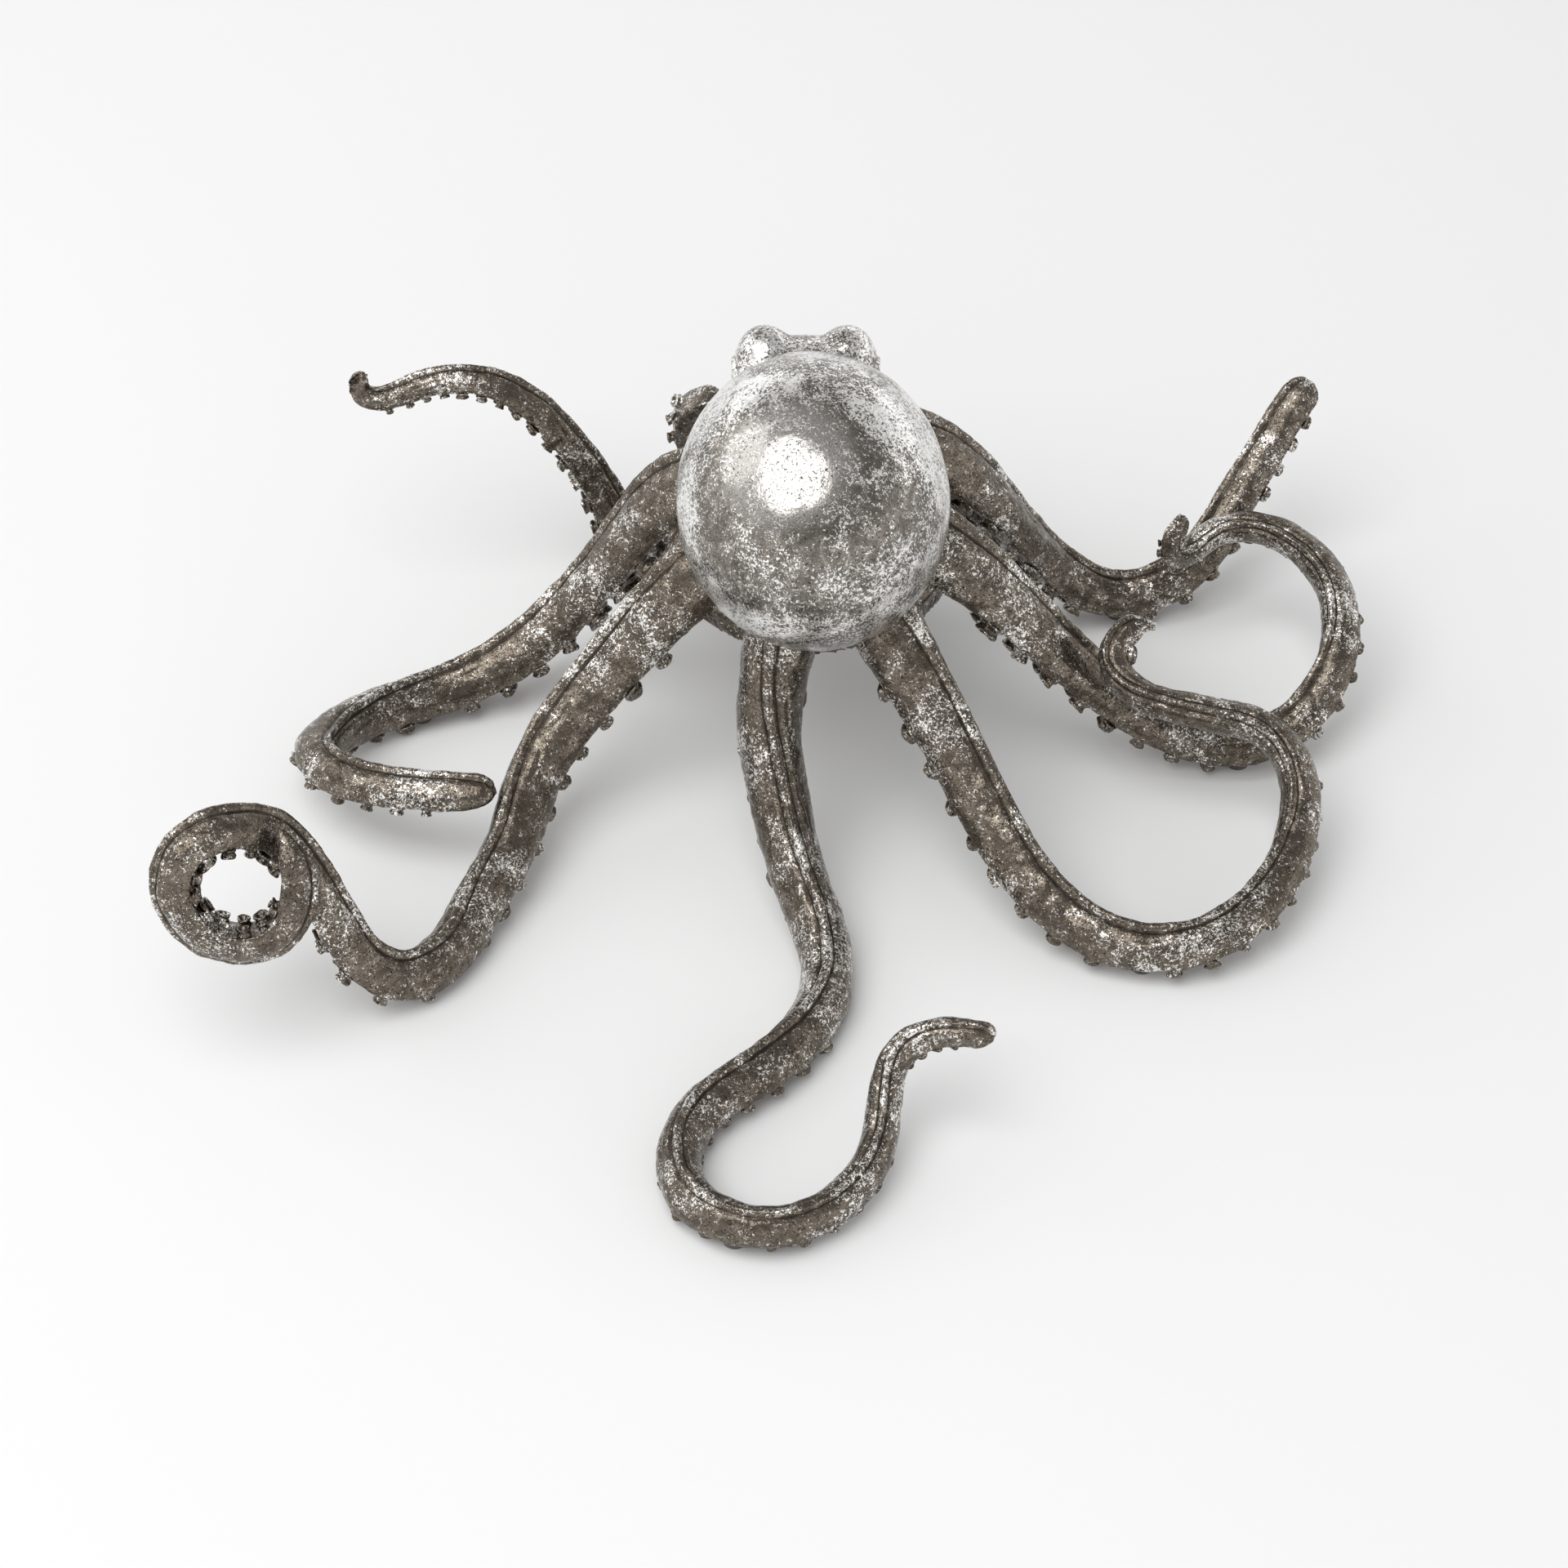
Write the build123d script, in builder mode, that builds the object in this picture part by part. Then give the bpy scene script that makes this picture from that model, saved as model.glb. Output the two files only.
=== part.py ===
from build123d import *

from dataclasses import dataclass
from math import cos, exp, radians, sin
import os

# ---------------------------------------------------------------------------
# Driving dimensions, in millimetres.
# The frame: +Z up, floor at z = 0, origin on the floor in the middle of the
# footprint. Arms are named with front at -Y and right at +X; the octopus
# itself looks towards +Y, so its mantle hangs over the front arms.
# ---------------------------------------------------------------------------

CROWN_X = 10.0  # the crown is where the eight arms meet
CROWN_Y = 86.0
CROWN_TOP = 119.0
CROWN_RADIUS = 56.0  # outer edge of the web between the arms
CROWN_EDGE = 84.0  # height of that edge
WEB_THICKNESS = 10.0
ARM_JOINT = 53.0  # distance along an arm's route to the face glued to the crown

SECTION_STEP = 9.0  # distance between the cross sections of an arm
BELLY = 0.35  # depth of the flat belly below an arm's middle line, as a share of its width
BELLY_HALF = 0.46  # half the breadth of that belly, likewise
FLANK = 0.42  # half the breadth of the arm at the height of its middle line, likewise
BACK = 0.42  # height of an arm's back above its middle line, as a share of its width
BEAD = 0.50  # height of the bead along the back, as a share of the width
WIDTH_FLARE = 13.0  # extra width of an arm where it starts
FLARE_LENGTH = 60.0  # distance over which that extra width dies away
TIP_ROUNDING = 7.0  # length of the rounded end of an arm that has no point

PIN_DIAMETER = 4.0
PIN_LENGTH = 36.0  # half of it in the crown, half in the arm

PAD_DIAMETER = 9.0
PAD_THICKNESS = 2.0
FOOT_HEIGHT = 8.0  # the cast foot above a pad reaches this far into the arm

# The suckers, as shares of the arm's width where they stand.
SUCKER_ASIDE = 0.29  # from the middle of the belly to a sucker's centre
SUCKER_RADIUS = 0.15  # and its height
SUCKER_SPACING = 0.66  # from one pair to the next
FIRST_SUCKER = 15.0  # from the glued face to the first pair
GLUE_FILM = 0.2  # least gap between a sucker and the belly it is glued to

# The head and mantle are turned about one axis, and lengths along it are
# measured from the widest part of the mantle, tail negative.
MANTLE_Y = 46.0
MANTLE_Z = 138.0
MANTLE_TILT = 8.0  # degrees the axis rises towards the head
MANTLE_RADIUS = 50.0
MANTLE_TAIL = -60.0
HEAD_END = 77.0
END_ANGLE = 6  # degrees from the axis at which the rounded ends stop in a small flat
SHELL_THICKNESS = 4.0
CAVITY_END = 22.0  # the mantle is hollow to here, the head is solid
CAVITY_FLOOR = 128.0  # height of the hollow's flat floor
NECK_RADIUS = 27.0
EYE_ASIDE = 17.0
EYE_Y = 107.0
EYE_Z = 162.0
BROW_RADIUS = 9.0
EYE_RADIUS = 5.0
EYE_RIM = 1.5  # width and height of the rim round an eye
SEAT_RISE = 10.0  # the head sits on the backs of the arms, this far above the web
SEAT_SLOPE = 0.95  # fall of the seat per millimetre outside the web

DOWEL_DIAMETER = 8.0
DOWEL_BOTTOM = 110.0
DOWEL_LENGTH = 34.0
BORE_CLEARANCE = 0.3  # extra diameter, and depth at each end, of the holes for pins and dowel

PARTS = "parts"


@dataclass
class ArmShape:
    """One arm: where its middle line runs, which way its back faces, how thick it is."""

    route: list  # points of the middle line, from the crown outwards
    backs: list  # (share of the route, direction the back faces there)
    stem: float  # width just past the flare
    tip: float  # width at the end
    feet: list  # (x, y) of the places where the arm stands on a pad
    point: float = TIP_ROUNDING  # length of the narrowing end


ARMS = {
    "front": ArmShape(
        route=[
            (5, 65, 106), (-3, 27, 85), (-6, 7, 62), (-2, -14, 43), (5, -37, 27), (13, -57, 16),
            (15, -80, 12), (6, -103, 12), (-12, -123, 12), (-30, -139, 12), (-38, -158, 12),
            (-34, -178, 12), (-19, -190, 12), (-2, -192, 12), (14, -185, 12), (27, -172, 14),
            (34, -154, 19), (36, -141, 29), (42, -133, 38), (56, -131, 44), (74, -135, 45),
        ],
        backs=[
            (0, (0, 0, 1)), (0.4, (0, 0, 1)), (0.5, (-0.3, 0.2, 1)), (0.65, (0, 0, 1)),
            (1, (0, -0.2, 1)),
        ],
        stem=24,
        tip=10,
        feet=[(15, -80), (-18, -190)],
    ),
    "front_left": ArmShape(
        route=[
            (-9, 75, 106), (-38, 56, 89), (-62, 42, 66), (-83, 27, 46), (-98, 8, 31), (-106, -18, 21),
            (-118, -45, 15), (-129, -67, 12), (-143, -78, 14), (-157, -79, 25), (-166, -74, 41),
            (-174, -68, 58), (-184, -66, 76), (-197, -74, 89), (-212, -84, 90), (-218, -92, 78),
            (-212, -98, 63), (-198, -99, 54), (-184, -96, 55), (-176, -89, 65), (-175, -82, 78),
            (-180, -74, 88),
        ],
        backs=[
            (0, (0, 0, 1)), (0.15, (-0.4, 0.2, 1)), (0.4, (-0.2, 0.3, 1)), (0.5, (0.5, 0.5, 1)),
            (0.58, (1, 0.3, 0.2)), (0.66, (0.7, 0.3, 0.7)), (0.72, (0, 0.4, 1)), (0.79, (-1, 0, 0.5)),
            (0.86, (-0.7, -0.4, -0.8)), (0.93, (0.6, -0.4, -0.8)), (1, (1, 0, 0.4)),
        ],
        stem=23,
        tip=14,
        feet=[(-129, -67)],
        point=22,
    ),
    "front_right": ArmShape(
        route=[
            (21, 67, 106), (44, 25, 85), (60, 7, 62), (75, -14, 42), (91, -36, 26), (111, -53, 15),
            (134, -62, 12), (159, -59, 14), (181, -41, 18), (193, -17, 25), (195, 4, 34), (185, 18, 44),
            (165, 24, 48), (146, 28, 50), (130, 35, 54), (125, 45, 60), (131, 53, 64), (143, 54, 65),
        ],
        backs=[
            (0, (0, 0, 1)), (0.3, (0.2, 0.3, 1)), (0.45, (0, 0.25, 1)), (0.6, (-0.8, 0.3, 1)),
            (0.72, (-0.6, -0.8, 1)), (0.85, (0, -0.7, 1)), (0.93, (-0.8, -0.3, 1)), (1, (0, 0.8, 1)),
        ],
        stem=24,
        tip=10,
        feet=[(134, -62)],
    ),
    "right": ArmShape(
        route=[
            (32, 83, 106), (66, 69, 87), (89, 63, 65), (111, 57, 44), (134, 52, 26), (157, 47, 15),
            (180, 45, 12), (199, 50, 17), (213, 64, 26), (219, 83, 38), (216, 102, 46), (205, 118, 50),
            (188, 128, 51), (171, 127, 47), (161, 121, 43), (155, 117, 48), (155, 119, 56),
            (158, 123, 62),
        ],
        backs=[
            (0, (0, 0, 1)), (0.2, (0, 0.5, 1)), (0.42, (0, 0.25, 1)), (0.6, (-1, 0.2, 1)),
            (0.8, (-0.3, -0.9, 1)), (0.92, (0.4, -0.6, 1)), (1, (1, 0.4, 0.2)),
        ],
        stem=24,
        tip=9,
        feet=[(179, 45)],
    ),
    "back_right": ArmShape(
        route=[
            (22, 104, 108), (38, 119, 105), (57, 124, 94), (77, 125, 73), (95, 127, 46), (113, 130, 23),
            (133, 131, 12), (154, 135, 14), (170, 145, 22), (183, 159, 35), (195, 173, 50),
            (206, 185, 63), (215, 193, 73),
        ],
        backs=[
            (0, (0, 0, 1)), (0.3, (0, 0.5, 1)), (0.6, (0, 0.25, 1)), (0.8, (-0.8, 0.2, 1)),
            (1, (-0.8, 0.2, 1)),
        ],
        stem=23,
        tip=15,
        feet=[(137, 131)],
    ),
    "back": ArmShape(
        route=[
            (8, 108, 106), (5, 132, 89), (0, 153, 61), (-3, 169, 34), (-6, 182, 18), (-14, 191, 12),
            (-26, 195, 20), (-37, 193, 37), (-41, 188, 55), (-35, 184, 67), (-25, 182, 71),
        ],
        backs=[(0, (0, 0, 1)), (0.6, (0, -0.2, 1)), (0.8, (0.8, 0, 0.6)), (1, (0.2, 0, -1))],
        stem=22,
        tip=12,
        feet=[(-12, 189)],
    ),
    "back_left": ArmShape(
        route=[
            (-3, 104, 107), (-14, 120, 97), (-26, 132, 74), (-38, 141, 45), (-48, 148, 22),
            (-58, 153, 12), (-68, 157, 24), (-77, 161, 44), (-88, 165, 62), (-105, 171, 80),
            (-130, 172, 91), (-154, 168, 88), (-165, 165, 87), (-171, 166, 91), (-168, 168, 97),
        ],
        backs=[
            (0, (0, 0, 1)), (0.35, (0.3, 0.3, 1)), (0.5, (0.6, 0.2, 1)), (0.7, (0, 0.5, 1)),
            (0.9, (0, 0.3, 1)), (1, (-1, 0, 0.3)),
        ],
        stem=21,
        tip=9,
        feet=[(-58, 153)],
    ),
    "left": ArmShape(
        route=[
            (-11, 92, 106), (-42, 101, 94), (-63, 101, 65), (-87, 94, 37), (-113, 83, 20),
            (-138, 74, 13), (-162, 62, 14), (-177, 44, 19), (-180, 23, 26), (-166, 8, 29),
            (-147, 1, 31), (-129, -2, 32), (-111, -3, 34),
        ],
        backs=[
            (0, (0, 0, 1)), (0.3, (0, 0.5, 1)), (0.55, (0.1, 0.2, 1)), (0.72, (0.7, 0, 1)),
            (0.85, (0, 0.5, 1)), (1, (0, 0.5, 1)),
        ],
        stem=23,
        tip=15,
        feet=[(-146, 71)],
        point=12,
    ),
}


CROWN_AXIS = Axis((CROWN_X, CROWN_Y, 0), (0, 0, 1))
CROWN_HALF = Plane(origin=(CROWN_X, CROWN_Y, 0), x_dir=(1, 0, 0), z_dir=(0, -1, 0))


def middle_line(points):
    """The smooth line through an arm's route points."""
    with BuildLine() as line:
        Spline(*points)
    return line.edges()[0]


def blend(stops, share):
    """The direction at a share of the route, between the two stops either side of it."""
    for (before, low), (after, high) in zip(stops, stops[1:]):
        if share <= after:
            part = (share - before) / (after - before)
            return Vector(*low) * (1 - part) + Vector(*high) * part
    return Vector(*stops[-1][1])


def arm_plane(line, shape, share):
    """The plane across an arm at a share of its route, its y axis towards the arm's back."""
    ahead = line % share
    back = blend(shape.backs, share)
    return Plane(origin=line @ share, x_dir=back.cross(ahead), z_dir=ahead)


def arm_width(line, shape, share):
    """A flare at the crown, then a slow taper, then a rounded end."""
    distance = share * line.length
    left = max(0.0, line.length - distance)
    width = shape.tip + (shape.stem - shape.tip) * (left / line.length) ** 0.7
    width += WIDTH_FLARE * exp(-distance / FLARE_LENGTH)
    if left < shape.point:
        width *= max(0.35, (1 - (1 - left / shape.point) ** 2) ** 0.5)
    return width


def arm_section(plane, width):
    """Flat belly, two full flanks and a narrow bead along the back."""
    with BuildSketch(plane) as section:
        with BuildLine():
            belly_left = (-BELLY_HALF * width, -BELLY * width)
            belly_right = (BELLY_HALF * width, -BELLY * width)
            bead_right = (0.07 * width, BACK * width)
            bead_left = (-0.07 * width, BACK * width)
            Line(belly_left, belly_right)
            ThreePointArc(belly_right, (FLANK * width, 0.08 * width), bead_right)
            ThreePointArc(bead_right, (0, BEAD * width), bead_left)
            ThreePointArc(bead_left, (-FLANK * width, 0.08 * width), belly_left)
        make_face()
    return section.sketch


def stations(line, first, last):
    """Evenly spaced shares of the route between two distances along it."""
    count = max(2, round((last - first) / SECTION_STEP))
    return [(first + (last - first) * step / count) / line.length for step in range(count + 1)]


def limb(line, shape, first, last, extra=0.0):
    """The solid of an arm between two distances along its route, made wider by extra."""
    with BuildPart() as piece:
        for share in stations(line, first, last):
            add(arm_section(arm_plane(line, shape, share), arm_width(line, shape, share) + extra))
        loft()
    return piece.part


def rod(plane, diameter, start, end):
    """A straight round bar along a plane's normal, between two heights above the plane."""
    with BuildPart() as piece:
        with BuildSketch(plane.offset(start)):
            Circle(diameter / 2)
        extrude(amount=end - start)
    return piece.part


def belly_point(line, shape, share, aside):
    """The point of the flat belly this far to one side of its middle."""
    plane = arm_plane(line, shape, share)
    return plane.origin - plane.y_dir * (BELLY * arm_width(line, shape, share)) + plane.x_dir * aside


def sucker_plane(line, shape, share, aside, radius):
    """The plane a sucker is glued on: parallel to the belly, just clear of where the belly bends up to it."""
    plane = arm_plane(line, shape, share)
    outward = -plane.y_dir
    centre = belly_point(line, shape, share, aside)
    step = radius / line.length
    rim = [
        belly_point(line, shape, share + ahead * step, aside + across * radius)
        for ahead in (-1, 1)
        for across in (-1, 1)
    ]
    lift = max(0, *[(point - centre).dot(outward) for point in rim])
    return Plane(origin=centre + outward * (lift + GLUE_FILM), x_dir=plane.x_dir, z_dir=outward)


def near_foot(point, shape):
    """True where a cast foot takes the place of a sucker."""
    return any(
        abs(point.X - x) < PAD_DIAMETER and abs(point.Y - y) < PAD_DIAMETER for x, y in shape.feet
    )


def sucker_spots(line, shape):
    """The plane and radius of every sucker of an arm, pair by pair."""
    spots = []
    distance = ARM_JOINT + FIRST_SUCKER
    while distance < line.length - shape.point - TIP_ROUNDING:
        share = distance / line.length
        width = arm_width(line, shape, share)
        for side in (-1, 1):
            radius = SUCKER_RADIUS * width
            plane = sucker_plane(line, shape, share, side * SUCKER_ASIDE * width, radius)
            if not near_foot(plane.origin, shape):
                spots.append((plane, radius))
        distance += SUCKER_SPACING * width
    return spots


def crown_profile(lift):
    """The curve of the web from its middle outwards, raised by lift."""
    Spline(
        (0, CROWN_TOP + lift),
        (0.5 * CROWN_RADIUS, CROWN_TOP - 0.22 * (CROWN_TOP - CROWN_EDGE) + lift),
        (CROWN_RADIUS, CROWN_EDGE + lift),
        tangents=[(1, 0), (1, -1)],
    )


def web():
    """The umbrella between the arms."""
    with BuildPart() as dome:
        with BuildSketch(CROWN_HALF):
            with BuildLine():
                crown_profile(0)
                crown_profile(-WEB_THICKNESS)
                Line((0, CROWN_TOP - WEB_THICKNESS), (0, CROWN_TOP))
                Line((CROWN_RADIUS, CROWN_EDGE - WEB_THICKNESS), (CROWN_RADIUS, CROWN_EDGE))
            make_face()
        revolve(axis=CROWN_AXIS)
    return dome.part


def seat(rise):
    """Everything below a surface this far above the web, which follows the backs of the arms."""
    inner = 0.45 * CROWN_RADIUS
    edge = CROWN_EDGE + rise
    with BuildPart() as space:
        with BuildSketch(CROWN_HALF):
            with BuildLine():
                Polyline(
                    (0, CROWN_TOP + rise),
                    (inner, CROWN_TOP + rise - 0.4 * SEAT_RISE),
                    (CROWN_RADIUS, edge),
                    (CROWN_RADIUS + edge / SEAT_SLOPE, 0),
                    (0, 0),
                    close=True,
                )
            make_face()
        revolve(axis=CROWN_AXIS)
    return space.part


def mantle_radius(along):
    """Round at the tail, drawn out into the head at the other end."""
    if along < 0:
        return MANTLE_RADIUS * (1 - (along / MANTLE_TAIL) ** 2) ** 0.5
    return MANTLE_RADIUS * (1 - (along / HEAD_END) ** 1.7) ** 0.75


def round_body(inset, tail, end):
    """The solid of mantle and head between two places on their axis; inset makes it thinner."""
    tilt = radians(MANTLE_TILT)
    axis = Vector(0, cos(tilt), sin(tilt))
    widest = Vector(CROWN_X, MANTLE_Y, MANTLE_Z)
    angles = [radians(angle) for angle in range(END_ANGLE, 90, 14)]
    places = [tail * cos(angle) for angle in angles] + [0.0]
    places += [end * cos(angle) for angle in reversed(angles)]
    with BuildPart() as body:
        for place in places:
            radius = mantle_radius(place) - inset
            with BuildSketch(Plane(origin=widest + axis * place, x_dir=(1, 0, 0), z_dir=axis)):
                Circle(max(radius, 1.0))
        loft()
    return body.part


def eyes():
    """Two brow bumps, each with an eyeball in a raised rim on its outer side."""
    brow = Vector(CROWN_X - EYE_ASIDE, EYE_Y, EYE_Z)
    outward = Vector(-1, 0.6, 0).normalized()
    socket = Plane(origin=brow + outward * (0.9 * BROW_RADIUS), x_dir=(0, 0, 1), z_dir=outward)
    with BuildPart() as bumps:
        with Locations(brow):
            Sphere(BROW_RADIUS)
        with BuildSketch(socket.offset(-EYE_RADIUS)):
            Circle(EYE_RADIUS + EYE_RIM)
        extrude(amount=EYE_RADIUS)
        with BuildSketch(socket):
            Circle(EYE_RADIUS)
        extrude(amount=-EYE_RIM, mode=Mode.SUBTRACT)
        with Locations(socket.origin - outward * (0.6 * EYE_RADIUS)):
            Sphere(0.8 * EYE_RADIUS)
        mirror(about=Plane.YZ.offset(CROWN_X))
    return bumps.part


def above(height):
    """A block larger than the mantle, from this height upwards."""
    breadth = 4 * MANTLE_RADIUS
    with BuildPart() as block:
        with BuildSketch(Plane(origin=(CROWN_X, MANTLE_Y, height))):
            Rectangle(breadth, breadth)
        extrude(amount=breadth)
    return block.part


def finish(part, label):
    """Name the piece and write it out."""
    part.label = label
    export_step(part, f"{PARTS}/{label}.step")


os.makedirs(PARTS, exist_ok=True)

lines = {name: middle_line(shape.route) for name, shape in ARMS.items()}
joints = {
    name: arm_plane(line, ARMS[name], ARM_JOINT / line.length) for name, line in lines.items()
}
pin_half = PIN_LENGTH / 2
bores = {
    name: rod(joint, PIN_DIAMETER + BORE_CLEARANCE, -pin_half - BORE_CLEARANCE, pin_half + BORE_CLEARANCE)
    for name, joint in joints.items()
}
dowel_foot = Plane(origin=(CROWN_X, CROWN_Y, DOWEL_BOTTOM))
dowel_bore = rod(dowel_foot, DOWEL_DIAMETER + BORE_CLEARANCE, -BORE_CLEARANCE, DOWEL_LENGTH + BORE_CLEARANCE)

# The crown: the web with a stub for each arm, bored for the pins and the dowel.
with BuildPart() as crown:
    add(web())
    add([limb(lines[name], shape, 0, ARM_JOINT) for name, shape in ARMS.items()])
    add(list(bores.values()), mode=Mode.SUBTRACT)
    add(dowel_bore, mode=Mode.SUBTRACT)
finish(crown.part, "crown_web")

# The closed hollow inside the mantle: a wall's thickness from its outside, with a flat floor.
with BuildPart() as hollow:
    add(round_body(SHELL_THICKNESS, MANTLE_TAIL + SHELL_THICKNESS, CAVITY_END))
    add(above(CAVITY_FLOOR), mode=Mode.INTERSECT)

# Where head and mantle sit: raised above the web, with the backs of the arms' stubs let in.
with BuildPart() as seated:
    add(round_body(0, MANTLE_TAIL, HEAD_END))
    with BuildSketch(Plane(origin=(CROWN_X, CROWN_Y, CROWN_TOP - WEB_THICKNESS))):
        Circle(NECK_RADIUS)
    with BuildSketch(Plane(origin=(CROWN_X, EYE_Y - 8, EYE_Z - 22))):
        Circle(0.85 * NECK_RADIUS)
    loft()
    add(seat(SEAT_RISE), mode=Mode.SUBTRACT)
    add(crown.part, mode=Mode.SUBTRACT)

# Head and mantle: one casting, hollow in the mantle, solid in the head, bored for the dowel.
# The seat leaves a crumb between two stubs, so only the largest solid is kept.
with BuildPart() as head:
    add(seated.solids().sort_by(SortBy.VOLUME)[-1])
    add(hollow.part, mode=Mode.SUBTRACT)
    add(dowel_bore, mode=Mode.SUBTRACT)
    add(eyes())
finish(head.part, "mantle_head")

finish(rod(dowel_foot, DOWEL_DIAMETER, 0, DOWEL_LENGTH), "neck_dowel")

for name, shape in ARMS.items():
    line = lines[name]

    with BuildPart() as arm:
        add(limb(line, shape, ARM_JOINT, line.length))
        for x, y in shape.feet:
            with BuildSketch(Plane(origin=(x, y, PAD_THICKNESS))):
                Circle(PAD_DIAMETER / 2)
        if shape.feet:
            extrude(amount=FOOT_HEIGHT)
        add(bores[name], mode=Mode.SUBTRACT)
    finish(arm.part, f"arm_{name}")

    finish(rod(joints[name], PIN_DIAMETER, -pin_half, pin_half), f"pin_{name}")

    with BuildPart() as suckers:
        for plane, radius in sucker_spots(line, shape):
            with BuildSketch(plane):
                Circle(radius)
                Circle(radius / 2, mode=Mode.SUBTRACT)
            extrude(amount=radius)
    finish(suckers.part, f"suckers_{name}")

    for number, (x, y) in enumerate(shape.feet, start=1):
        finish(rod(Plane(origin=(x, y, 0)), PAD_DIAMETER, 0, PAD_THICKNESS), f"pad_{name}_{number}")
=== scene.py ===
"""A table sculpture of an octopus: cast arms, web, mantle and head under worn silver-coloured metal leaf."""

import math
import random

import bmesh
import bpy
import numpy as np
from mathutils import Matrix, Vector, noise
from mathutils.bvhtree import BVHTree


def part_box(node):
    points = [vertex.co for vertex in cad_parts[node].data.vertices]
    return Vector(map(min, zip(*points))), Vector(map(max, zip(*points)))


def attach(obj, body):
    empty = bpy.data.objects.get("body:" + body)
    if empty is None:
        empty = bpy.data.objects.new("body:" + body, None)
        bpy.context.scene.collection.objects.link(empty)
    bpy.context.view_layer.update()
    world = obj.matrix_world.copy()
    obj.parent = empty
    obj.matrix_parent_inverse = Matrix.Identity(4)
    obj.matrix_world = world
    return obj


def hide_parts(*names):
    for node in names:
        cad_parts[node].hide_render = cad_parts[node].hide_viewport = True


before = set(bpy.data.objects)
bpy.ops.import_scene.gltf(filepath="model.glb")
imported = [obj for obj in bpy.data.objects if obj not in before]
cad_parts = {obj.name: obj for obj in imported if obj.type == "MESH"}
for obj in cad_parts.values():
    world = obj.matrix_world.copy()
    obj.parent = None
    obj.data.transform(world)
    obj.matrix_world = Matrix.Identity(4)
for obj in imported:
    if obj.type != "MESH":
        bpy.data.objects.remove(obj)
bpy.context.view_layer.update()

MM = 0.001
ARMS = ["front", "front_left", "front_right", "right", "back_right", "back", "back_left", "left"]

# ---------------------------------------------------------------------------
# Meshes
# ---------------------------------------------------------------------------

CAST_GRAIN = 0.7 * MM  # the mesh size of the arms and the web
ROUNDING = 3  # how many times their edges are smoothed
CAST_SURFACE = [(9 * MM, 0.55 * MM), (3.2 * MM, 0.22 * MM)]  # their lumps: (size, depth) each
SEAM_OVERLAP = 2 * MM
ARM_REACH = 25 * MM  # more than half an arm's width
BEAD_WIDTH = 1.4 * MM
CREASE_AWAY = 1.3 * MM
CREASE_WIDTH = 0.8 * MM
CREASE_DEPTH = 0.7 * MM
FOLD_AWAY = 5.5 * MM


def link(mesh, name):
    """A new object for a mesh, in the scene."""
    piece = bpy.data.objects.new(name, mesh)
    bpy.context.scene.collection.objects.link(piece)
    return piece


def baked(piece):
    """Turn a piece's modifiers into its mesh."""
    graph = bpy.context.evaluated_depsgraph_get()
    mesh = bpy.data.meshes.new_from_object(piece.evaluated_get(graph))
    piece.modifiers.clear()
    piece.data = mesh
    return piece


def points_of(mesh):
    """The mesh's vertices as rows of an array."""
    flat = np.empty(len(mesh.vertices) * 3)
    mesh.vertices.foreach_get("co", flat)
    return flat.reshape(-1, 3)


def normals_of(mesh):
    """The mesh's vertex normals as rows of an array."""
    flat = np.empty(len(mesh.vertices) * 3)
    mesh.vertex_normals.foreach_get("vector", flat)
    return flat.reshape(-1, 3)


def move_to(mesh, points):
    """Put the mesh's vertices at the rows of an array."""
    mesh.vertices.foreach_set("co", points.ravel())
    mesh.update()


def welded(node):
    """The CAD node's mesh with the seams between its faces closed."""
    shape = bmesh.new()
    shape.from_mesh(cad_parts[node].data)
    bmesh.ops.remove_doubles(shape, verts=shape.verts, dist=0.002 * MM)
    return shape


def islands(shape):
    """The vertices of each connected part of a bmesh, in the order of the mesh."""
    seen = set()
    found = []
    for first in shape.verts:
        if first in seen:
            continue
        seen.add(first)
        part = [first]
        for vert in part:
            for edge in vert.link_edges:
                other = edge.other_vert(vert)
                if other not in seen:
                    seen.add(other)
                    part.append(other)
        found.append(part)
    return found


def faces_of(part):
    """The faces round a part's vertices, each once, in a fixed order."""
    return list(dict.fromkeys(face for vert in part for face in vert.link_faces))


def bead_tree(node):
    """A search tree over the narrow bead strips of a CAD node, which are its most finely faceted faces."""
    shape = bmesh.new()
    shape.from_mesh(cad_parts[node].data)
    rest = []
    for part in islands(shape):
        area = sum(face.calc_area() for face in faces_of(part))
        spread = max((v.co - part[0].co).length for v in part)
        if len(part) * (MM * MM) < 2 * area or spread < 25 * MM:
            rest += part
    bmesh.ops.delete(shape, geom=rest, context="VERTS")
    tree = BVHTree.FromBMesh(shape)
    shape.free()
    return tree


def glued_face(arm):
    """The middle of the face between an arm and its stub, and the direction out along the arm."""
    points = points_of(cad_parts[f"pin_{arm}"].data)
    middle = (points.min(axis=0) + points.max(axis=0)) / 2
    axis = np.linalg.svd(points - middle, full_matrices=False)[2][0]
    arm_low, arm_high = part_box(f"arm_{arm}")
    outward = (np.array(arm_low) + np.array(arm_high)) / 2 - middle
    return Vector(middle), Vector(axis * np.sign(axis @ outward))


def overlapped(shape, arm, reach):
    """Move the vertices on an arm's glued face this far out along the arm, to hide the seam."""
    middle, outward = glued_face(arm)
    for vert in shape.verts:
        offset = vert.co - middle
        if abs(offset.dot(outward)) < 0.02 * MM and offset.length < ARM_REACH:
            vert.co += outward * reach


def remeshed(piece, grain):
    """Give a piece one even skin of this grain."""
    remesh = piece.modifiers.new("remesh", "REMESH")
    remesh.mode = "VOXEL"
    remesh.voxel_size = grain
    remesh.use_smooth_shade = True


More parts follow.
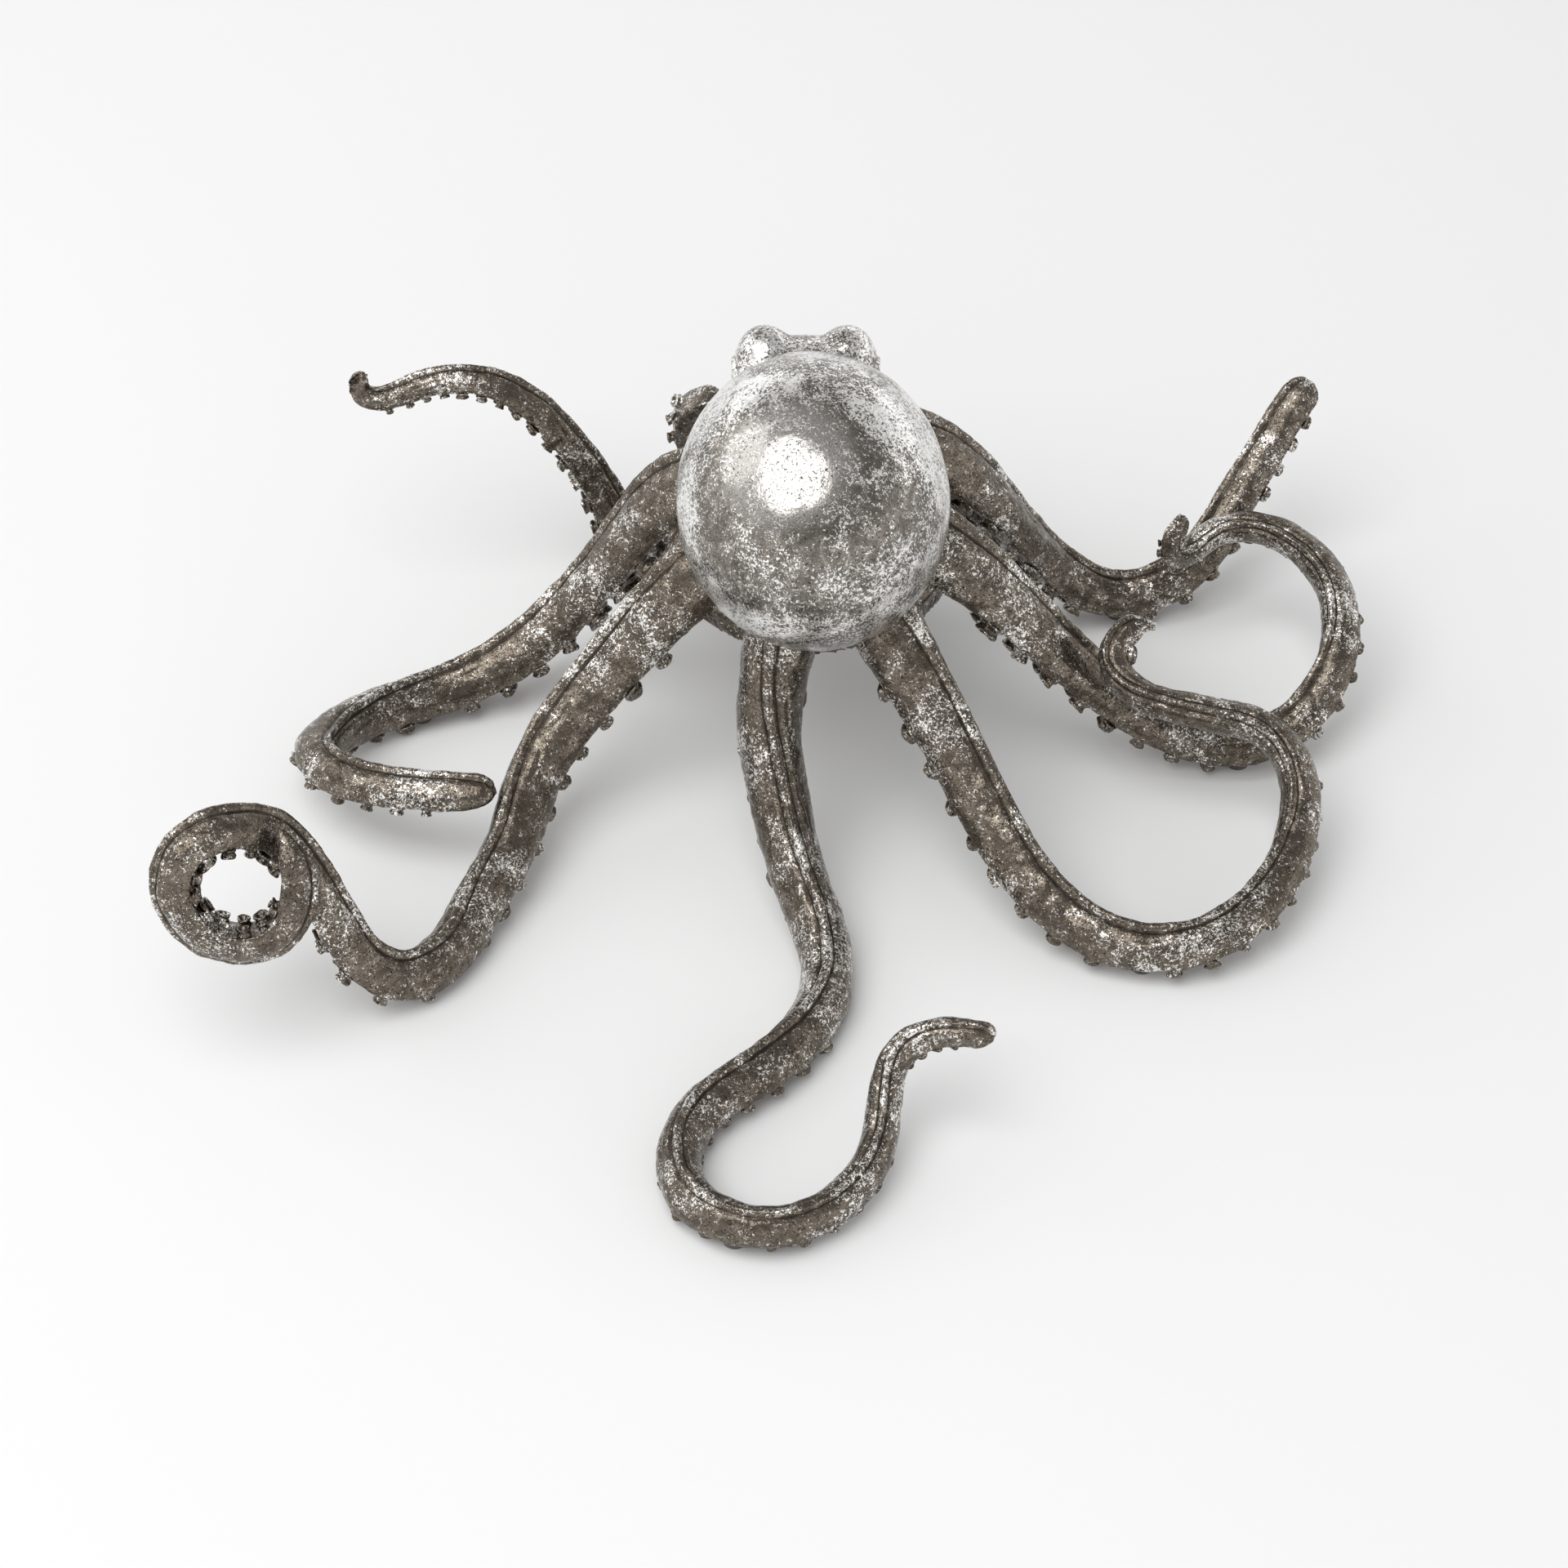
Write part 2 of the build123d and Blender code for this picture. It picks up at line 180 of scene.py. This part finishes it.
def cast(node, name):
    """A casting with the CAD node's shape, its edges rounded off and its glued faces drawn past the seam."""
    shape = welded(node)
    for arm in ARMS:
        if node == "crown_web":
            overlapped(shape, arm, SEAM_OVERLAP)
        elif node == f"arm_{arm}":
            overlapped(shape, arm, -SEAM_OVERLAP)
    mesh = bpy.data.meshes.new(name)
    shape.to_mesh(mesh)
    shape.free()
    piece = link(mesh, name)
    remeshed(piece, CAST_GRAIN)
    smooth = piece.modifiers.new("smooth", "SMOOTH")
    smooth.factor = 0.5
    smooth.iterations = ROUNDING
    return baked(piece)


def roughened(piece, layers):
    """Push the surface in and out along its normals by layers of noise: (size, depth) each."""
    points = points_of(piece.data)
    push = np.zeros(len(points))
    for size, depth in layers:
        scaled = points / size
        push += depth * np.array([noise.noise(Vector(p)) for p in scaled])
    move_to(piece.data, points + normals_of(piece.data) * push[:, None])
    return piece


def bump_at(values, centre, width):
    """1 where a value is at the centre, falling smoothly to 0 within about two widths."""
    return np.exp(-(((values - centre) / width) ** 2))


def creased(piece, node):
    """Cut a crease along each side of the bead and a broken one further down, and note the ridge."""
    mesh = piece.data
    tree = bead_tree(node)
    points = points_of(mesh)
    away = np.array([tree.find_nearest(Vector(p))[3] for p in points])
    waver = np.array([noise.noise(Vector(p)) for p in points / (16 * MM)])
    near = bump_at(away, CREASE_AWAY + 0.5 * MM * waver, CREASE_WIDTH)
    far = bump_at(away, FOLD_AWAY + 2.5 * MM * waver, CREASE_WIDTH) * np.clip(3 * waver, 0, 1)
    push = -CREASE_DEPTH * (near + 0.6 * far)
    push += 0.25 * MM * bump_at(away, 0, CREASE_WIDTH)
    move_to(mesh, points + normals_of(mesh) * push[:, None])
    ridge = mesh.attributes.new("ridge", "FLOAT", "POINT")
    ridge.data.foreach_set("value", bump_at(away, 0, BEAD_WIDTH).astype(np.float32))
    return piece


# ---------------------------------------------------------------------------
# Mantle and head
# ---------------------------------------------------------------------------

head_low, head_high = (np.array(corner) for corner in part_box("mantle_head"))
MANTLE_RADIUS = (head_high[0] - head_low[0]) / 2 + 0.7 * MM
MANTLE_CENTRE = np.array([
    (head_low[0] + head_high[0]) / 2,
    head_low[1] + 59.5 * MM,
    head_high[2] - 50.2 * MM,
])
MANTLE_HALF = 58.5 * MM
MANTLE_RISE = math.radians(8)
MANTLE_TURN = math.radians(3.5)
MANTLE_GRAIN = 0.9 * MM
MANTLE_SURFACE = [(14 * MM, 0.35 * MM), (5 * MM, 0.08 * MM)]  # its lumps: (size, depth) each
HEAD_CENTRE = MANTLE_CENTRE + np.array([-2.5, 58, 9]) * MM
BLEND = 2.6 * MM  # how softly the forms of mantle and head run into each other
SIDES = (-1, 1)


def form(offset, half, axes=np.eye(3)):
    """An ellipsoid of the head: its centre, its half sizes and the directions they run in."""
    return HEAD_CENTRE + np.array(offset) * MM, np.array(half) * MM, axes


def forms():
    """The ellipsoids that mantle and head are made of: (centre, half sizes, axes) each."""
    ahead = np.array([
        -math.sin(MANTLE_TURN) * math.cos(MANTLE_RISE),
        math.cos(MANTLE_TURN) * math.cos(MANTLE_RISE),
        math.sin(MANTLE_RISE),
    ])
    aside = np.cross(ahead, (0, 0, 1))
    aside /= np.linalg.norm(aside)
    tilted = np.array([aside, ahead, np.cross(aside, ahead)])
    mantle = (MANTLE_CENTRE, np.array([MANTLE_RADIUS, MANTLE_HALF, MANTLE_RADIUS]), tilted)
    head = form((0, 0, 0), (24, 18, 16.5))
    neck = form((2, -10, -22), (26, 22, 24))
    found = [mantle, head, neck]
    for side in SIDES:
        brow = form((side * 15.6, 2.5, 12.4), (9.4, 10.5, 9.6))
        lid = form((side * 20.5, 0, 4), (6.5, 9.5, 8))
        found += [brow, lid]
    return found


def gap(points, ellipsoid):
    """About how far points lie outside one ellipsoid."""
    centre, half, axes = ellipsoid
    local = (points - centre) @ axes.T
    scaled = np.linalg.norm(local / half, axis=1)
    slope = np.linalg.norm(local / half**2, axis=1)
    return (scaled - 1) * scaled / np.maximum(slope, 1e-9)


def blended_gap(points, parts):
    """About how far points lie outside all the forms, blended softly."""
    gaps = np.array([gap(points, part) for part in parts])
    nearest = gaps.min(axis=0)
    return nearest - BLEND * np.log(np.exp(-(gaps - nearest) / BLEND).sum(axis=0))


def drawn_onto(points, parts):
    """The points moved onto the blended surface of the forms, in a few steps down its slope."""
    step = 0.05 * MM
    for _ in range(6):
        value = blended_gap(points, parts)
        slope = np.stack([
            (blended_gap(points + step * axis, parts) - value) / step for axis in np.eye(3)
        ], axis=1)
        points = points - slope * (value / np.maximum((slope**2).sum(axis=1), 0.25))[:, None]
    return points


def eye_carving(points):
    """How deep the surface is cut round each eye: a groove, a fold outside it and a groove round the fold."""
    depth = np.zeros(len(points))
    for side in SIDES:
        pupil = HEAD_CENTRE + np.array([side * 26.5, 0, 4]) * MM
        away = np.linalg.norm((points - pupil) * (0.6, 1.0, 1.25), axis=1)
        depth += 0.9 * MM * bump_at(away, 4.6 * MM, 0.7 * MM)
        depth -= 0.7 * MM * bump_at(away, 6.4 * MM, 1.0 * MM)
        depth += 0.6 * MM * bump_at(away, 8.6 * MM, 0.9 * MM)
    return depth


def modelled_head(name):
    """Mantle and head as one smooth skin over their forms."""
    parts = forms()
    shape = bmesh.new()
    for centre, half, axes in parts:
        ball = bmesh.ops.create_icosphere(shape, subdivisions=5, radius=1.0)
        for vert in ball["verts"]:
            vert.co = Vector(centre + (np.array(vert.co) * half) @ axes)
    mesh = bpy.data.meshes.new(name)
    shape.to_mesh(mesh)
    shape.free()
    piece = link(mesh, name)
    remeshed(piece, MANTLE_GRAIN)
    baked(piece)
    points = drawn_onto(points_of(piece.data), parts)
    move_to(piece.data, points)
    move_to(piece.data, points - normals_of(piece.data) * eye_carving(points)[:, None])
    return piece


# ---------------------------------------------------------------------------
# Materials
# ---------------------------------------------------------------------------

# Leaf colour lightened to silver where the key light's highlight falls on the mantle: a painted highlight.
HIGHLIGHT_SILVER = (0.55, 0.53, 0.50)
PIT_BLACK = (0.012, 0.010, 0.009)
STAIN = 0.62  # how much of its brightness the leaf keeps where it is stained
PALE_FROM = 0.63  # the least flake noise that leaves pale leaf where nothing helps or hinders it
PALE_EDGE = 0.015  # how gradually the flakes end
SPECK_EDGE = 0.12  # how gradually the specks of undercoat end


class Nodes:
    """A small helper that adds and links shader nodes."""

    def __init__(self, name):
        self.material = bpy.data.materials.new(name)
        self.material.use_nodes = True
        self.tree = self.material.node_tree
        self.shader = self.tree.nodes["Principled BSDF"]
        self.place = self.add("ShaderNodeTexCoord").outputs["Object"]

    def add(self, kind, **settings):
        """A new node with these settings."""
        node = self.tree.nodes.new(kind)
        for key, value in settings.items():
            setattr(node, key, value)
        return node

    def link(self, source, socket):
        """Lead an output to a socket."""
        self.tree.links.new(source, socket)

    def feed(self, value, socket):
        """Give a socket a number, a colour or another node's output."""
        if isinstance(value, (int, float)):
            socket.default_value = value
        elif isinstance(value, tuple):
            socket.default_value = (*value, 1)
        else:
            self.link(value, socket)

    def noise(self, size, detail=3.0, roughness=0.55, distortion=0.0, stretch=None):
        """Noise whose features are about this size, in metres."""
        node = self.add("ShaderNodeTexNoise")
        node.inputs["Scale"].default_value = 1 / size
        node.inputs["Detail"].default_value = detail
        node.inputs["Roughness"].default_value = roughness
        node.inputs["Distortion"].default_value = distortion
        place = self.place
        if stretch:
            mapping = self.add("ShaderNodeMapping")
            mapping.inputs["Scale"].default_value = stretch
            self.link(place, mapping.inputs["Vector"])
            place = mapping.outputs["Vector"]
        self.link(place, node.inputs["Vector"])
        return node.outputs["Fac"]

    def math(self, operation, first, second):
        """A sum, product or other result of two numbers or outputs."""
        node = self.add("ShaderNodeMath", operation=operation)
        self.feed(first, node.inputs[0])
        self.feed(second, node.inputs[1])
        return node.outputs[0]

    def between(self, value, low, high):
        """0 below low, 1 above high, smooth in between; low and high may be outputs."""
        node = self.add("ShaderNodeMapRange", interpolation_type="SMOOTHSTEP")
        self.feed(value, node.inputs["Value"])
        self.feed(low, node.inputs["From Min"])
        self.feed(high, node.inputs["From Max"])
        return node.outputs["Result"]

    def away_from(self, point, near, far):
        """0 within near of a point on the piece, 1 beyond far, smooth in between."""
        node = self.add("ShaderNodeVectorMath", operation="DISTANCE")
        self.link(self.place, node.inputs[0])
        node.inputs[1].default_value = point
        return self.between(node.outputs["Value"], near, far)

    def mix(self, share, first, second):
        """A colour between two colours."""
        node = self.add("ShaderNodeMix", data_type="RGBA")
        self.link(share, node.inputs["Factor"])
        self.feed(first, node.inputs[6])
        self.feed(second, node.inputs[7])
        return node.outputs[2]

    def blend(self, share, first, second):
        """A number between two numbers."""
        node = self.add("ShaderNodeMix", data_type="FLOAT")
        self.link(share, node.inputs["Factor"])
        self.feed(first, node.inputs[2])
        self.feed(second, node.inputs[3])
        return node.outputs[0]

    def bump(self, height, depth, below=None):
        """A bump this deep, in metres, on top of another."""
        node = self.add("ShaderNodeBump")
        node.inputs["Strength"].default_value = 1.0
        node.inputs["Distance"].default_value = depth
        self.link(height, node.inputs["Height"])
        if below is not None:
            self.link(below, node.inputs["Normal"])
        return node.outputs["Normal"]


def pitted(m):
    """1 in small scattered pits, 0 elsewhere."""
    cells = m.add("ShaderNodeTexVoronoi", feature="F1")
    cells.inputs["Scale"].default_value = 1 / (3.2 * MM)
    m.link(m.place, cells.inputs["Vector"])
    chosen = m.between(m.noise(5 * MM, 1), 0.53, 0.58)
    return m.math("MULTIPLY", m.between(cells.outputs["Distance"], 0.13, 0.08), chosen)


def leaf(name, tones, cover, drift, whole, polish, dents, least_pale_point=None, highlight_point=None):
    """Metal leaf over a brown undercoat, with tones for the undercoat (also painted into creases as shade),
    the leaf and its pale flakes.

    cover and drift say how much pale leaf is left and how unevenly, and whole how little of the undercoat
    shows in specks. polish is the leaf's roughness and dents how deep the hammering is. least_pale_point is
    a point on the mantle's front: more of the pale leaf is left further from it. Round the point
    highlight_point the leaf's colour is lightened to silver, a painted highlight where the key light is
    reflected.
    """
    m = Nodes(name)
    undercoat_and_shade_tone, plain, pale = tones
    patches = m.noise(26 * MM, 3, 0.6)
    drifts = m.noise(6 * MM, 4, 0.65, 0.6)
    flakes = m.noise(1.0 * MM, 5, 0.68, 0.9)
    specks = m.noise(0.85 * MM, 4, 0.7, 0.6)
    hammer = m.noise(2.2 * MM, 3, 0.6)
    crinkle = m.noise(0.9 * MM, 2, 0.5)
    pointiness = m.add("ShaderNodeNewGeometry").outputs["Pointiness"]
    edges = m.between(pointiness, 0.51, 0.57)
    # Low pointiness marks creases, which are darkened as painted shade.
    crease_shade = m.between(pointiness, 0.485, 0.45)
    crest = m.add("ShaderNodeAttribute", attribute_name="ridge").outputs["Fac"]
    pit = pitted(m)

    # How easily the pale leaf shows: more in patches, on edges and along the ridge, less in creases as
    # painted shade.
    shares = [
        (m.between(patches, 0.42, 0.66), drift),
        (m.between(drifts, 0.42, 0.70), 0.08),
        (edges, 0.03),
        (crest, 0.02),
        (crease_shade, -0.15),
    ]
    if least_pale_point is not None:
        # Less pale leaf near a point on the mantle's front, more further from it.
        shares.append((m.away_from(least_pale_point, 34 * MM, 52 * MM), 0.09))
    ease = cover
    for amount, share in shares:
        ease = m.math("ADD", ease, m.math("MULTIPLY", amount, share))
    start = m.math("SUBTRACT", PALE_FROM, ease)
    bright = m.between(flakes, start, m.math("ADD", start, PALE_EDGE))

    # The undercoat shows through the leaf in specks, creases get its dark tone as painted shade, and stains
    # darken the leaf in drifts.
    specks_and_crease_shade = m.math("MAXIMUM", m.between(specks, whole, whole + SPECK_EDGE), crease_shade)
    metal = m.mix(m.between(drifts, 0.58, 0.40), plain, tuple(STAIN * tone for tone in plain))
    # Round the highlight point the leaf colour is lightened to silver: a painted highlight where the key
    # light is reflected.
    if highlight_point is not None:
        metal = m.mix(m.away_from(highlight_point, 16 * MM, 30 * MM), HIGHLIGHT_SILVER, metal)
    colour = m.mix(bright, m.mix(specks_and_crease_shade, metal, undercoat_and_shade_tone), pale)
    m.link(m.mix(pit, colour, PIT_BLACK), m.shader.inputs["Base Color"])
    m.shader.inputs["Metallic"].default_value = 0.94
    rough = m.blend(bright, m.blend(specks_and_crease_shade, polish, polish + 0.20), polish + 0.04)
    m.link(rough, m.shader.inputs["Roughness"])

    layers = m.math("ADD", m.math("MULTIPLY", bright, 0.3), m.math("MULTIPLY", specks_and_crease_shade, -0.5))
    normal = m.bump(hammer, dents)
    normal = m.bump(crinkle, 0.4 * dents, normal)
    normal = m.bump(layers, 0.07 * MM, normal)
    normal = m.bump(m.math("SUBTRACT", 1.0, pit), 0.15 * MM, normal)
    m.link(normal, m.shader.inputs["Normal"])
    return m.material


def steel():
    """Drawn steel rod: fine lines and a little rust bloom."""
    m = Nodes("steel")
    lines = m.noise(0.6 * MM, 3, 0.6, 0.0, (1.0, 1.0, 0.15))
    bloom = m.between(m.noise(4 * MM, 4, 0.6), 0.55, 0.75)
    m.link(m.mix(bloom, (0.52, 0.52, 0.53), (0.30, 0.20, 0.13)), m.shader.inputs["Base Color"])
    m.shader.inputs["Metallic"].default_value = 0.9
    m.link(m.blend(bloom, 0.35, 0.7), m.shader.inputs["Roughness"])
    m.link(m.bump(lines, 0.03 * MM), m.shader.inputs["Normal"])
    return m.material


def felt():
    """Pressed dark felt: a mat of short fibres."""
    m = Nodes("felt")
    fibres = m.noise(0.35 * MM, 5, 0.75, 2.0)
    tufts = m.noise(2 * MM, 3, 0.6)
    colour = m.mix(fibres, (0.035, 0.031, 0.028), (0.12, 0.11, 0.10))
    m.link(m.mix(m.between(tufts, 0.4, 0.7), colour, (0.06, 0.055, 0.05)), m.shader.inputs["Base Color"])
    m.shader.inputs["Roughness"].default_value = 0.95
    m.shader.inputs["Sheen Weight"].default_value = 0.4
    m.link(m.bump(fibres, 0.12 * MM), m.shader.inputs["Normal"])
    return m.material


def painted(piece, material):
    """Give a piece one material over all of it."""
    piece.data.materials.clear()
    piece.data.materials.append(material)


def shown(piece, node, material):
    """The piece, smooth and in its material, rides on the sculpture's body in place of its CAD node."""
    painted(piece, material)
    for polygon in piece.data.polygons:
        polygon.use_smooth = True
    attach(piece, "root")
    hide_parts(node)


arm_leaf = leaf(
    "arm_leaf",
    ((0.040, 0.032, 0.025), (0.19, 0.160, 0.127), (0.92, 0.90, 0.87)),
    cover=-0.01,
    drift=0.09,
    whole=0.51,
    polish=0.18,
    dents=0.22 * MM,
)
mantle_leaf = leaf(
    "mantle_leaf",
    ((0.05, 0.043, 0.035), (0.26, 0.236, 0.207), (0.93, 0.92, 0.90)),
    cover=0.0,
    drift=0.09,
    whole=0.53,
    polish=0.14,
    dents=0.08 * MM,
    least_pale_point=MANTLE_CENTRE + MANTLE_RADIUS * np.array([-0.10, -0.79, 0.60]),
    # This point faces halfway between the key light and the camera: the silver round it is a painted
    # highlight.
    highlight_point=MANTLE_CENTRE + MANTLE_RADIUS * np.array([-0.20, -0.50, 0.84]),
)

for node in [f"arm_{arm}" for arm in ARMS] + ["crown_web"]:
    piece = roughened(creased(cast(node, f"leafed_{node}"), node), CAST_SURFACE)
    shown(piece, node, arm_leaf)

mantle = roughened(modelled_head("leafed_mantle_head"), MANTLE_SURFACE)
shown(mantle, "mantle_head", mantle_leaf)

# ---------------------------------------------------------------------------
# Suckers
# ---------------------------------------------------------------------------

SPOKES = 18
CUP_LEAN = 0.25
CUP_SWELL = (0.85, 1.3)
CUP_SURFACE = [(2.2 * MM, 0.35 * MM)]  # its lumps: (size, depth)
# Outline of a cup, as (radius, height) in shares of the CAD cup's radius and height.
CUP = [
    (1.22, -0.30), (1.10, 0.02), (0.90, 0.22), (0.84, 0.42), (0.96, 0.66), (1.06, 0.86), (1.00, 1.04),
    (0.82, 1.10), (0.62, 1.02), (0.50, 0.84), (0.34, 0.62), (0.14, 0.52),
]


def widest_direction(part):
    """The direction that most of a part's surface faces, which for a short tube is along its axis."""
    areas = {}
    for face in faces_of(part):
        key = tuple(round(c, 2) for c in face.normal)
        areas[key] = areas.get(key, 0) + face.calc_area()
    return Vector(max(areas, key=areas.get)).normalized()


def cup_places(arm):
    """The centre of the glued end, the outward direction, the radius and the height of each CAD cup."""
    shape = welded(f"suckers_{arm}")
    arm_shape = welded(f"arm_{arm}")
    arm_tree = BVHTree.FromBMesh(arm_shape)
    places = []
    for part in islands(shape):
        axis = widest_direction(part)
        centre = sum((v.co for v in part), Vector()) / len(part)
        reach = [(v.co - centre).dot(axis) for v in part]
        half = (max(reach) - min(reach)) / 2
        radius = max(((v.co - centre) - axis * (v.co - centre).dot(axis)).length for v in part)
        ends = [centre + axis * half, centre - axis * half]
        gaps = [arm_tree.find_nearest(end)[3] for end in ends]
        if gaps[0] < gaps[1]:
            ends.reverse()
            axis = -axis
        places.append((ends[1], axis, radius, 2 * half))
    shape.free()
    arm_shape.free()
    return places


def cups(arm, name, seed):
    """One mesh of all an arm's suckers, each a little different."""
    chance = random.Random(seed)
    mesh = bmesh.new()
    for base, outward, radius, height in cup_places(arm):
        lean = Vector([chance.uniform(-CUP_LEAN, CUP_LEAN) for _ in range(3)])
        axis = (outward + lean).normalized()
        side = axis.orthogonal().normalized()
        other = axis.cross(side)
        swell = chance.uniform(*CUP_SWELL)
        wobble = chance.uniform(0, math.tau)
        rings = []
        for reach, rise in CUP:
            ring = []
            for step in range(SPOKES):
                angle = math.tau * step / SPOKES
                lumpy = 1 + 0.07 * math.sin(3 * angle + wobble) + 0.04 * math.sin(7 * angle - 2 * wobble)
                spoke = side * math.cos(angle) + other * math.sin(angle)
                away = reach * swell * lumpy * radius
                ring.append(mesh.verts.new(base + axis * (rise * height) + spoke * away))
            rings.append(ring)
        for low, high in zip(rings, rings[1:]):
            for step in range(SPOKES):
                after = (step + 1) % SPOKES
                mesh.faces.new((low[step], low[after], high[after], high[step]))
        mesh.faces.new(rings[-1])
        mesh.faces.new(list(reversed(rings[0])))
    bmesh.ops.recalc_face_normals(mesh, faces=mesh.faces)
    data = bpy.data.meshes.new(name)
    mesh.to_mesh(data)
    mesh.free()
    return link(data, name)


for seed, arm in enumerate(ARMS):
    piece = cups(arm, f"cups_{arm}", seed)
    rounded = piece.modifiers.new("rounded", "SUBSURF")
    rounded.levels = rounded.render_levels = 1
    roughened(baked(piece), CUP_SURFACE)
    shown(piece, f"suckers_{arm}", arm_leaf)

# ---------------------------------------------------------------------------
# The pieces kept as the CAD has them
# ---------------------------------------------------------------------------

steel_rod = steel()
dark_felt = felt()
for name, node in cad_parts.items():
    if name.startswith("pin_") or name == "neck_dowel":
        painted(node, steel_rod)
    if name.startswith("pad_"):
        painted(node, dark_felt)

# ---------------------------------------------------------------------------
# Floor, light and camera
# ---------------------------------------------------------------------------

LIT_POINT = Vector((0, 0.03, 0.08))
AIM = Vector((-0.0007, 0.033, 0))
CAMERA_RISE = math.radians(46)
CAMERA_DISTANCE = 1.46


def floor():
    """A wide pale floor, very slightly uneven in tone."""
    bpy.ops.mesh.primitive_grid_add(x_subdivisions=8, y_subdivisions=8, size=12)
    plane = bpy.context.object
    plane.name = "floor"
    m = Nodes("pale_floor")
    tone = m.noise(0.9, 2, 0.5)
    m.link(m.mix(tone, (0.88, 0.88, 0.88), (0.90, 0.90, 0.90)), m.shader.inputs["Base Color"])
    m.shader.inputs["Roughness"].default_value = 0.9
    m.shader.inputs["Specular IOR Level"].default_value = 0.1
    plane.data.materials.append(m.material)


def softbox(name, direction, distance, size, power):
    """A round area light that faces the sculpture."""
    light = bpy.data.lights.new(name, "AREA")
    light.shape = "DISK"
    light.size = size
    light.energy = power
    lamp = bpy.data.objects.new(name, light)
    bpy.context.scene.collection.objects.link(lamp)
    lamp.location = LIT_POINT + Vector(direction).normalized() * distance
    lamp.rotation_mode = "QUATERNION"
    lamp.rotation_quaternion = (LIT_POINT - lamp.location).to_track_quat("-Z", "Y")


def sky():
    """A studio round the set: pale near the horizon, dark overhead."""
    world = bpy.data.worlds.new("studio")
    bpy.context.scene.world = world
    world.use_nodes = True
    tree = world.node_tree
    place = tree.nodes.new("ShaderNodeTexCoord")
    split = tree.nodes.new("ShaderNodeSeparateXYZ")
    ramp = tree.nodes.new("ShaderNodeValToRGB")
    tree.links.new(place.outputs["Generated"], split.inputs[0])
    tree.links.new(split.outputs["Z"], ramp.inputs["Fac"])
    ramp.color_ramp.interpolation = "EASE"
    stops = [(0.0, 1.28), (0.30, 1.18), (0.52, 0.48), (1.0, 0.34)]
    elements = ramp.color_ramp.elements
    while len(elements) < len(stops):
        elements.new(0.5)
    for element, (position, tone) in zip(elements, stops):
        element.position = position
        element.color = (tone, tone, tone, 1)
    background = tree.nodes["Background"]
    tree.links.new(ramp.outputs["Color"], background.inputs["Color"])
    background.inputs["Strength"].default_value = 1.0


def photographer():
    """The camera, at the photograph's angle in front of and above the sculpture."""
    camera = bpy.data.objects.new("camera", bpy.data.cameras.new("camera"))
    camera.data.lens = 85
    camera.data.sensor_width = 36
    camera.location = AIM + Vector((0, -math.cos(CAMERA_RISE), math.sin(CAMERA_RISE))) * CAMERA_DISTANCE
    camera.rotation_euler = (math.pi / 2 - CAMERA_RISE, 0, 0)
    bpy.context.scene.collection.objects.link(camera)
    bpy.context.scene.camera = camera


floor()
sky()
softbox("key", (-0.30, -0.27, 0.90), 2.8, 2.7, 50)
softbox("fill", (-0.8, 0.3, 0.6), 3.4, 2.4, 14)
photographer()
bpy.context.scene.view_settings.view_transform = "Standard"
